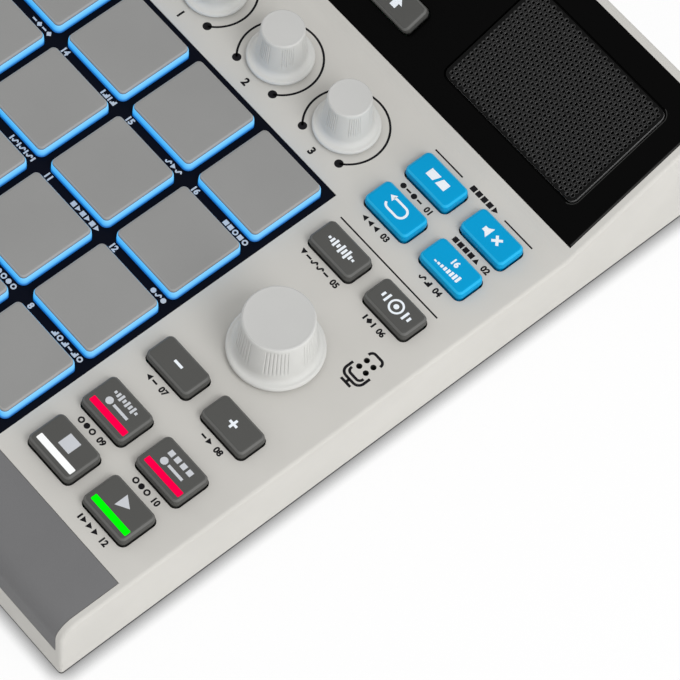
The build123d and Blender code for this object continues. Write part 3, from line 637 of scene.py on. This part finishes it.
muteMark = inked([markSizes["horn"]]) + [sign(*markSizes["cross"], inkLow, inkHigh)]
levelMark = (barMark(markSizes["levels"], markSizes["levelY"], markSizes["levelWidth"], True)
             + [figures(*markSizes["count"], inkLow, inkHigh)])
recordMark = inked([disc(*markSizes["record"]), bar(*markSizes["recordBar"])])
sampleMark = barMark(markSizes["sample"], markSizes["rowY"])
stepMark = inked([bar(x, markSizes["rowY"], markSizes["step"], markSizes["step"])
                  for x in markSizes["steps"]])
buttonLooks = {  # colour, mark, light bar, signs printed below
    "chop_button": ("blueButton", inked(markSizes["chop"]), None, ("disc", "dash", "disc", "dash")),
    "mute_button": ("blueButton", muteMark, None, ("square", "square", "square", "square", "rise")),
    "loop_button": ("blueButton", loopMark(), None, ("back", "back", "back")),
    "levels_button": ("blueButton", levelMark, None, ("wave", "step")),
    "sample_select_button": ("greyButton", barMark(markSizes["wave"]), None,
                             ("fall", "dash", "wave", "wave", "dash")),
    "tap_tempo_button": ("greyButton", tapMark(), None, ("bar", "gem", "bar")),
    "minus_button": ("greyButton", inked([bar(*markSizes["minus"])]), None, ("back", "dash")),
    "plus_button": ("greyButton", [sign(*markSizes["plus"], inkLow, inkHigh)], None, ("dash", "next")),
    "sample_record_button": ("greyButton", sampleMark + recordMark, "redLight", ("ring", "disc", "ring")),
    "sequence_record_button": ("greyButton", stepMark + recordMark, "redLight", ("ring", "disc", "ring")),
    "stop_button": ("greyButton", inked([bar(*markSizes["stop"])]), "whiteLight", None),
    "play_button": ("greyButton", inked([markSizes["play"]]), "greenLight", ("bar", "next", "next", "next")),
}


# The buttons with a light bar are the deeper ones
def buttonDepth(light):
    return buttonSizes["deepDepth" if light else "depth"]


def buttonSkin(light):
    rings = roundedLoft(buttonSizes["width"], buttonDepth(light), buttonSizes["corner"],
                        buttonSizes["profile"])
    points, faces, bands = skin(rings)
    # the bevel band takes the painted highlight
    return points, faces, (bands == buttonSizes["bevel"]).astype(int)


def makeButtons():
    for node, (look, mark, light, _) in buttonLooks.items():
        points, faces, bevel = buttonSkin(light)
        shown = piece(node + "_cap", onDeck(points, *middle(node)), faces, node,
                      [look, buttonHighlights[look]], bevel)
        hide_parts(node)
        points, faces = joined(mark)
        piece(node + "_mark", onDeck(points, *middle(node)), faces, node,
              ["palePrint" if light else "whitePrint"])
        if light:
            points, faces = plate(bar(*buttonSizes["light"]), inkLow, inkHigh + buttonSizes["lightRise"])
            piece(node + "_light", onDeck(points, *middle(node)), faces, node, [light])


def makeShiftButton():
    points, faces, bevel = buttonSkin(None)
    low, high = slopeReach("shift_button")
    x, s = (low + high)[:2] / 2
    shown = piece("shift_button_cap", onSlope(points, x, s), faces, "shift_button",
                  ["greyButton", "greyBevelHighlight"], bevel)
    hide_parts("shift_button")
    points, faces = joined(inked([markSizes["shift"]]))
    piece("shift_button_mark", onSlope(points, x, s), faces, "shift_button", ["whitePrint"])


makeButtons()
makeShiftButton()
print("buttons made")


# Knobs: a rounded flange lip, a hollow sweep to the waist, a fluted cone, a rounded rim and a flat disc

dataSizes = {
    "flange": 14.4, "lip": 0.95, "lift": 0.8, "waist": 11.9, "waistHeight": 5.6, "top": 10.7, "height": 18.6,
    "rim": (0.75, 1.5), "flutes": 7, "pitch": 5.5, "depth": 0.26, "groups": 6, "start": -42.0, "count": 720,
}
smallSizes = {
    "flange": 10.25, "lip": 0.8, "lift": 0.6, "waist": 7.6, "waistHeight": 4.6, "top": 6.65, "height": 16.44,
    "rim": (0.55, 1.1), "flutes": 6, "pitch": 5.6, "depth": 0.2, "groups": 6, "start": -27.0, "count": 576,
}
knobNumbers = (1, 2, 3)
knobSizes = {
    "bore": 2.0, "lipSteps": 13, "sweepStart": 6, "sweepSteps": 12, "coneSteps": 22, "rimSteps": 10,
    "face": [[0.12, 0.0], [0.28, 0.03], [0.5, 0.04], [1.4, 0.04]], "discBands": 7,
    "fluteLow": 6.2, "fluteDrop": 0.1, "runIn": 0.6, "runOut": 0.7, "fluteShare": 0.3,
}


# Profile of radius and height, from the bore under the flange up to the disc
def knobProfile(sizes):
    lip = sizes["lip"]
    rimIn, rimDrop = sizes["rim"]
    turn = np.radians(np.linspace(-90, 90, knobSizes["lipSteps"]))
    edge = np.c_[sizes["flange"] - lip + lip * np.cos(turn), sizes["lift"] + lip + lip * np.sin(turn)]
    sweep = np.radians(np.linspace(knobSizes["sweepStart"], 90, knobSizes["sweepSteps"]))
    x0, z0 = edge[-1]
    hollow = np.c_[x0 - (x0 - sizes["waist"]) * np.sin(sweep),
                   z0 + (sizes["waistHeight"] - z0) * (1 - np.cos(sweep))]
    share = np.linspace(0, 1, knobSizes["coneSteps"])[1:, None]
    shoulder = np.array([sizes["top"], sizes["height"] - rimDrop])
    cone = hollow[-1] + (shoulder - hollow[-1]) * share
    bend = np.radians(np.linspace(0, 90, knobSizes["rimSteps"]))[1:]
    crown = np.c_[shoulder[0] - rimIn * (1 - np.cos(bend)), shoulder[1] + rimDrop * np.sin(bend)]
    face = np.array([shoulder[0] - rimIn, sizes["height"]]) - knobSizes["face"]
    return np.concatenate([[[knobSizes["bore"], sizes["lift"]]], edge, hollow, cone, crown, face])


# Flutes are raised cosines at a pitch, in groups around the cone, that fade in and out along its height
def knobSkin(sizes):
    low, high = knobSizes["fluteLow"], sizes["height"] - sizes["rim"][1] - knobSizes["fluteDrop"]

    def flute(angle):
        spread = 360 / sizes["groups"]
        local = (np.degrees(angle) - sizes["start"] + spread / 2) % spread - spread / 2
        half = (sizes["flutes"] - 1) / 2
        nearest = np.clip(np.round(local / sizes["pitch"] + half), 0, sizes["flutes"] - 1) - half
        away = np.abs(local - nearest * sizes["pitch"]) / (sizes["pitch"] * knobSizes["fluteShare"])
        return sizes["depth"] * (0.5 + 0.5 * np.cos(math.pi * np.clip(away, 0, 1)))

    def window(height):
        runIn = np.clip((height - low) / knobSizes["runIn"], 0, 1)
        rise = runIn * np.clip((high - height) / knobSizes["runOut"], 0, 1)
        return rise * rise * (3 - 2 * rise)

    profile = knobProfile(sizes)
    points, faces, bands = skin(flutedTurn(profile, sizes["count"], flute, window))
    return points, faces, (bands >= len(profile) - 1 - knobSizes["discBands"]).astype(int)


def showKnob(name, node, points, faces, bands):
    shown = piece(name, points, faces, node, ["knobPlastic", "knobDisc"], bands)
    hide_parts(node)


def makeKnobs():
    points, faces, bands = knobSkin(dataSizes)
    showKnob("dataKnob", "data_knob", onDeck(points, *middle("data_knob")), faces, bands)
    points, faces, bands = knobSkin(smallSizes)
    for number in knobNumbers:
        node = f"knob_{number}"
        showKnob(f"turnKnob_{number}", node, onDeck(points, *middle(node)), faces, bands)
    showKnob("volumeKnob", "volume_knob", onSlope(points), faces, bands)


makeKnobs()
print("knobs made")


# Printed marks on the deck, the dark sheet and the screen

printSizes = {
    "low": -0.02, "high": 0.03, "cap": 2.2, "sign": 2.1, "figureRoom": 2.1, "figureEnd": 0.8, "line": 0.5,
}
deckSizes = {
    "labelDrop": 2.55, "headRise": 7.75, "headGap": 9.2, "headEnd": 6.2, "headSign": 2.2, "divideDrop": 13.1,
    "headSigns": ("square", "square", "square", "square", "next"),
    "arcRadius": 12.9, "arcLine": 0.68, "arcTurn": (-50, 230), "arcSteps": 64,
    "dot": 1.4, "dotAside": 8.2, "dotDrop": 9.9, "knobCap": 2.8, "knobDrop": 13.3,
    "ticks": (-10, -5, 0, 5, 10), "tickReach": (6.0, 8.4), "tickLine": 0.4,
}
micSizes = {
    "line": 0.85, "half": 2.5, "corner": 1.3, "back": (4.6, 3.0), "front": (-4.8, -3.2),
    "outerHalf": 3.65, "outerCorner": 2.1, "outer": (-6.3, -1.8), "stem": (6.3, 7.5), "foot": (2.0, 7.75),
    "turnSteps": 10,
}
padPrint = {
    "figureX": 10.6, "signX": 12.4, "drop": 15.05, "sign": 1.9,
    "signs": [("ring", "dash", "ring", "dash"), ("next", "next", "next"),
              ("square", "wave", "square", "wave"), ("rise", "fall", "rise", "fall"),
              ("back", "dash", "next"), ("bar", "bar", "bar", "bar", "wave"),
              ("disc", "ring", "disc", "ring"), ("step", "ring", "step", "dash", "step", "ring"),
              ("plus", "dash", "plus"), ("bar", "wave", "bar", "wave", "bar", "wave", "bar"),
              ("square", "next", "square", "next", "square", "next"), ("disc", "wave", "disc"),
              ("dash", "gem", "dash", "gem"), ("bar", "step", "bar", "step"), ("wave", "next", "wave"),
              ("square", "square", "ring", "square", "ring")],
}
faderLine = {"half": 3.9, "width": 0.7, "low": 5.58, "high": 5.66}


def printed(path, width):
    return strip(path, width, printSizes["low"], printSizes["high"])


# Signs and a two-figure number, centred on x
def label(kinds, number, x, y):
    low, high, cap, size = (printSizes[key] for key in ("low", "high", "cap", "sign"))
    width = rowWidth(kinds, size)
    half = (width + printSizes["figureRoom"] * cap) / 2
    return signRow(kinds, x - half + width, y, size, low, high) + [
        figures(f"{number:02d}", x + half - printSizes["figureEnd"] * cap, y, cap, low, high)]


def buttonLabels():
    shapes = []
    for number, (node, (*_, light, below)) in enumerate(buttonLooks.items(), start=1):
        x, y = np.array(middle(node)) / mm
        if below:
            shapes += label(below, number, x, y - buttonDepth(light) / 2 - deckSizes["labelDrop"])
    return shapes


# Line with signs in its middle behind the blue buttons, and a plain line in front of them
def groupLines():
    low, high, line = printSizes["low"], printSizes["high"], printSizes["line"]
    leftX, topY = np.array(middle("chop_button")) / mm
    rightX = middle("mute_button")[0] / mm
    centre = (leftX + rightX) / 2
    headY = topY + deckSizes["headRise"]
    outer = rightX - centre + buttonSizes["width"] / 2
    shapes = []
    for side in (-1, 1):
        ends = [[centre + side * deckSizes["headGap"], headY], [centre + side * outer, headY]]
        shapes.append(printed(ends[::side], line))
    shapes += signRow(deckSizes["headSigns"], centre + deckSizes["headEnd"], headY,
                      deckSizes["headSign"], low, high)
    divideY = middle("loop_button")[1] / mm - deckSizes["divideDrop"]
    shapes.append(printed([[centre - outer, divideY], [centre + outer, divideY]], line))
    return shapes


# Arc about each knob with a dot at both ends and the knob's number between them
def knobScales():
    low, high = printSizes["low"], printSizes["high"]
    shapes = []
    for number in knobNumbers:
        x, y = np.array(middle(f"knob_{number}")) / mm
        path = arc(x, y, deckSizes["arcRadius"], *deckSizes["arcTurn"], deckSizes["arcSteps"])
        shapes.append(printed(path, deckSizes["arcLine"]))
        dotY = y - deckSizes["dotDrop"]
        shapes += [plate(disc(x + side * deckSizes["dotAside"], dotY, deckSizes["dot"]), low, high)
                   for side in (-1, 1)]
        shapes.append(figures(str(number), x, y - deckSizes["knobDrop"], deckSizes["knobCap"], low, high))
    return shapes


def faderTicks():
    x, y = np.array(middle("fader_cap")) / mm
    near, far = deckSizes["tickReach"]
    return [printed([[x + side * near, y + step], [x + side * far, y + step]][::side], deckSizes["tickLine"])
            for step in deckSizes["ticks"] for side in (-1, 1)]


# Bracket: two straight sides joined by two quarter turns along its edge
def bracket(x, y, half, corner, edge, end):
    way = 1 if edge > end else -1
    steps = micSizes["turnSteps"]
    turns = arc(x - half + corner, y + edge - way * corner, corner, 180, 180 - way * 90, steps)
    others = arc(x + half - corner, y + edge - way * corner, corner, way * 90, 0, steps)
    return np.concatenate([[[x - half, y + end]], turns, others, [[x + half, y + end]]])


# Microphone sign about the holes: a capsule of two brackets, a cradle, a stem and a foot
def micMark():
    x, y = np.array(middle("mic_capsule")) / mm
    capsule = [bracket(x, y, micSizes["half"], micSizes["corner"], *micSizes[end])
               for end in ("back", "front")]
    cradle = bracket(x, y, micSizes["outerHalf"], micSizes["outerCorner"], *micSizes["outer"])
    stem = [[x, y - drop] for drop in micSizes["stem"]]
    half, drop = micSizes["foot"]
    foot = [[x - half, y - drop], [x + half, y - drop]]
    return [printed(path, micSizes["line"]) for path in (*capsule, cradle, stem, foot)]


def padMarks():
    low, high = printSizes["low"], printSizes["high"]
    shapes = []
    for number, kinds in enumerate(padPrint["signs"], start=1):
        x, y = np.array(middle(f"pad_{number:02d}")) / mm
        lineY = y - padPrint["drop"]
        shapes.append(figures(str(number), x - padPrint["figureX"], lineY, printSizes["cap"], low, high))
        shapes += signRow(kinds, x + padPrint["signX"], lineY, padPrint["sign"], low, high)
    return shapes


def makePrint():
    points, faces = joined(buttonLabels() + groupLines() + knobScales() + faderTicks() + micMark())
    piece("deckPrint", onDeck(points, 0, 0), faces, "casing", ["darkPrint"])
    points, faces = joined(padMarks())
    piece("padPrint", onDeck(points, 0, 0), faces, "casing", ["palePrint"])
    path = [[-faderLine["half"], 0], [faderLine["half"], 0]]
    points, faces = strip(path, faderLine["width"], faderLine["low"], faderLine["high"])
    piece("faderLine", onDeck(points, *middle("fader_cap")), faces, "fader_cap",
          ["whitePrint"])


screenSizes = {
    "low": -1.39, "high": -1.36, "bars": 44, "pitch": 1.15, "width": 0.65, "y": -1.0,
    "least": 1.2, "most": 15.0, "swell": (0.37, 0.11, 0.4), "ripple": (0.25, 1.9),
    "headLine": (0, 13.2, 50.0, 0.4), "footLine": (0, -14.2, 50.0, 0.4),
    "tabs": 4, "tabX": -22.0, "tabPitch": 6.5, "tabY": 15.2, "tab": (4.4, 1.6),
}


# Waveform of bars between two lines: height = a slow sine times a slower cosine, plus a quick ripple
def makeScreen():
    low, high = slopeReach("screen_window")
    x0, s0 = (low + high)[:2] / 2
    step = np.arange(screenSizes["bars"])
    quick, slow, phase = screenSizes["swell"]
    share, ripple = screenSizes["ripple"]
    swell = np.abs(np.sin(step * quick) * np.cos(step * slow + phase)) + share * np.abs(np.sin(step * ripple))
    places = (step - (screenSizes["bars"] - 1) / 2) * screenSizes["pitch"]
    heights = screenSizes["least"] + screenSizes["most"] * swell
    outlines = [bar(x, screenSizes["y"], screenSizes["width"], height) for x, height in zip(places, heights)]
    outlines.append(bar(*screenSizes["headLine"]))
    for tab in range(screenSizes["tabs"]):
        tabX = screenSizes["tabX"] + tab * screenSizes["tabPitch"]
        outlines.append(bar(tabX, screenSizes["tabY"], *screenSizes["tab"]))
    outlines.append(bar(*screenSizes["footLine"]))
    points, faces = joined([plate(outline, screenSizes["low"], screenSizes["high"]) for outline in outlines])
    piece("screenPicture", onSlope(points, x0, s0), faces, "casing", ["screenLight"])


grilleSizes = {  # the rim is a profile of radius and height
    "pitch": 1.61, "lattice": 60, "frame": 0.5, "clear": 0.72, "sides": 12,
    "rim": [(0.5, -0.02), (0.63, 0.03), (0.68, 0.06), (0.75, -0.02)],
}
panelSizes = {
    "gap": 0.7, "corner": 3.0, "line": 0.22, "border": 0.5, "turn": 80, "turnSteps": 10,
    "sink": 0.02, "rise": 0.015,
}


# Rolled rims of the grille's holes: a small ring at each place of a lattice whose odd columns are shifted,
# the outer bands of each ring painted grey as a highlight
def makeGrilleRims():
    low, high = slopeReach("speaker_grille")
    centre = (low + high) / 2
    reach = (high - low)[:2] / 2 - grilleSizes["frame"] - grilleSizes["clear"]
    pitch, sides = grilleSizes["pitch"], grilleSizes["sides"]
    across = pitch * math.sin(math.radians(grilleSizes["lattice"]))
    columns, steps = int(reach[0] // across), int(reach[1] // pitch) + 1
    column, step = np.meshgrid(np.arange(-columns, columns + 1), np.arange(-steps, steps + 1), indexing="ij")
    x, s = column * across, (step + column % 2 / 2) * pitch
    kept = np.abs(s) <= reach[1]
    places = np.stack([x[kept] + centre[0], s[kept] + centre[1], np.full(kept.sum(), high[2])], -1)
    radius, height = np.array(grilleSizes["rim"]).T[:, :, None]
    turn = np.linspace(0, 2 * math.pi, sides, endpoint=False)
    ring = np.stack([radius * np.cos(turn), radius * np.sin(turn), height + 0 * turn], -1)
    points = (places[:, None, None, :] + ring).reshape(-1, 3)
    quads = np.array(gridFaces(len(grilleSizes["rim"]), sides))
    faces = (quads + np.arange(len(places))[:, None, None] * ring.shape[0] * ring.shape[1]).reshape(-1, 4)
    bands = np.tile(np.arange(len(quads)) // sides > 0, len(places))
    piece("grilleHoleHighlights", onSlope(points), faces.tolist(), "casing",
          ["speakerMetal", "grilleRimHighlight"], bands)


# Fine lines along the +X sides of the dark panel and of its cutout, painted lighter as highlights where the
# light catches those edges
def makePanelLines():
    low, high = slopeReach("speaker_grille")
    panelLow, panelHigh = slopeReach("display_panel")
    line, border, corner = panelSizes["line"], panelSizes["border"], panelSizes["corner"]
    turn, steps = panelSizes["turn"], panelSizes["turnSteps"]
    edge = high[0] + panelSizes["gap"] + line / 2
    front, back = low[1] - panelSizes["gap"] - line / 2, high[1] + panelSizes["gap"] + line / 2
    cutout = np.concatenate([arc(edge - corner, front + corner, corner, -turn, 0, steps),
                             arc(edge - corner, back - corner, corner, 0, turn, steps)])
    right = panelHigh[0] - border / 2
    rim = [[right, panelLow[1] + border], [right, panelHigh[1] - border]]
    z0, z1 = panelHigh[2] - panelSizes["sink"], panelHigh[2] + panelSizes["rise"]
    points, faces = joined([strip(cutout, line, z0, z1), strip(rim, border, z0, z1)])
    piece("panelHighlights", onSlope(points), faces, "casing", ["edgeHighlightAndHoleShade"])


makePrint()
makeScreen()
makeGrilleRims()
makePanelLines()
print("marks made")


# Camera, floor and light

view = {
    "aside": (52.55, -14.185), "distance": 1133.27, "azimuth": 42.517, "elevation": 61.772, "roll": 7.880,
    "lens": 211.33, "sensor": 36, "clipEnd": 20,
}


# The camera looks at a point beside the last pad from an azimuth and elevation, rolled about its own axis
def makeCamera():
    turn, rise, roll = (math.radians(view[key]) for key in ("azimuth", "elevation", "roll"))
    back = Vector((math.sin(turn) * math.cos(rise), -math.cos(turn) * math.cos(rise), math.sin(rise)))
    level = Vector((0, 0, 1)).cross(back).normalized()
    above = back.cross(level)
    right = math.cos(roll) * level + math.sin(roll) * above
    up = math.cos(roll) * above - math.sin(roll) * level
    lens = bpy.data.cameras.new("camera")
    lens.lens = view["lens"]
    lens.sensor_width = view["sensor"]
    lens.clip_end = view["clipEnd"]
    camera = bpy.data.objects.new("camera", lens)
    x, y = np.array(middle("pad_16")) + np.array(view["aside"]) * mm
    place = Vector((x, y, deckZ)) + back * view["distance"] * mm
    camera.matrix_world = Matrix(((right.x, up.x, back.x, place.x), (right.y, up.y, back.y, place.y),
                                  (right.z, up.z, back.z, place.z), (0, 0, 0, 1)))
    bpy.context.collection.objects.link(camera)
    bpy.context.scene.camera = camera


stageSizes = {
    "half": 2.5, "floorColour": (0.9, 0.9, 0.9, 1.0), "floorRoughness": 0.9, "floorSpecular": 0.1,
    "floorWhite": 0.9, "shade": 0.005, "depth": 1.6, "world": 0.65, "aim": (0.05, 0.0, 0.03),
}
lamps = {
    "side": {"place": (1.2, 0.05, 0.42), "size": 0.8, "power": 3.7},
    "key": {"place": (0.8, 0.0, 1.0), "size": 0.55, "power": 5.3},
    "fill": {"place": (-1.1, -0.6, 0.3), "size": 0.7, "power": 1.6},
}


# Rays that see the white of the background: from the camera, from gloss and through glass
def addSeen(tree):
    path = tree.nodes.new("ShaderNodeLightPath")
    total = path.outputs["Is Camera Ray"]
    for ray in ("Is Glossy Ray", "Is Transmission Ray"):
        more = tree.nodes.new("ShaderNodeMath")
        more.operation = "MAXIMUM"
        tree.links.new(total, more.inputs[0])
        tree.links.new(path.outputs[ray], more.inputs[1])
        total = more.outputs["Value"]
    return total


# Floor: pale and matt, and mostly white as the camera sees it, so that only a faint cast shadow is left, with
# a contact shadow painted in by darkening that white with ambient occlusion near the object
def makeFloor():
    half = stageSizes["half"]
    mesh = bpy.data.meshes.new("floor")
    corners = [(-half, -half, 0), (half, -half, 0), (half, half, 0), (-half, half, 0)]
    mesh.from_pydata(corners, [], [(0, 1, 2, 3)])
    material, tree, shader = newMaterial("floor")
    setSockets(shader, {"Base Color": stageSizes["floorColour"], "Roughness": stageSizes["floorRoughness"],
                        "Specular IOR Level": stageSizes["floorSpecular"]})
    glow = tree.nodes.new("ShaderNodeEmission")
    # painted shadow: ambient occlusion within a few millimetres darkens the floor's white glow
    near = tree.nodes.new("ShaderNodeAmbientOcclusion")
    near.inputs["Distance"].default_value = stageSizes["shade"]
    deeper = tree.nodes.new("ShaderNodeMath")
    deeper.operation = "POWER"
    deeper.inputs[1].default_value = stageSizes["depth"]
    tree.links.new(near.outputs["AO"], deeper.inputs[0])
    tree.links.new(deeper.outputs["Value"], glow.inputs["Strength"])
    mix = tree.nodes.new("ShaderNodeMixShader")
    share = tree.nodes.new("ShaderNodeMath")
    share.operation = "MULTIPLY"
    share.inputs[1].default_value = stageSizes["floorWhite"]
    tree.links.new(addSeen(tree), share.inputs[0])
    tree.links.new(share.outputs["Value"], mix.inputs["Fac"])
    tree.links.new(shader.outputs["BSDF"], mix.inputs[1])
    tree.links.new(glow.outputs["Emission"], mix.inputs[2])
    tree.links.new(mix.outputs["Shader"], tree.nodes["Material Output"].inputs["Surface"])
    mesh.materials.append(material)
    floor = bpy.data.objects.new("floor", mesh)
    bpy.context.collection.objects.link(floor)


def makeWorld():
    world = bpy.data.worlds.new("world")
    world.use_nodes = True
    tree = world.node_tree
    shade = tree.nodes["Background"]
    shade.inputs["Color"].default_value = (1.0, 1.0, 1.0, 1.0)
    level = tree.nodes.new("ShaderNodeMapRange")
    setSockets(level, {"To Min": stageSizes["world"], "To Max": 1.0})
    tree.links.new(addSeen(tree), level.inputs["Value"])
    tree.links.new(level.outputs["Result"], shade.inputs["Strength"])
    bpy.context.scene.world = world


def makeLamps():
    for name, sizes in lamps.items():
        light = bpy.data.lights.new(name, "AREA")
        light.shape = "SQUARE"
        light.size = sizes["size"]
        light.energy = sizes["power"]
        lamp = bpy.data.objects.new(name, light)
        lamp.location = sizes["place"]
        aim = Vector(stageSizes["aim"]) - Vector(sizes["place"])
        lamp.rotation_euler = aim.to_track_quat("-Z", "Y").to_euler()
        bpy.context.collection.objects.link(lamp)


makeCamera()
makeFloor()
makeWorld()
makeLamps()
bpy.context.scene.view_settings.view_transform = "Standard"
print("camera, floor and light made")
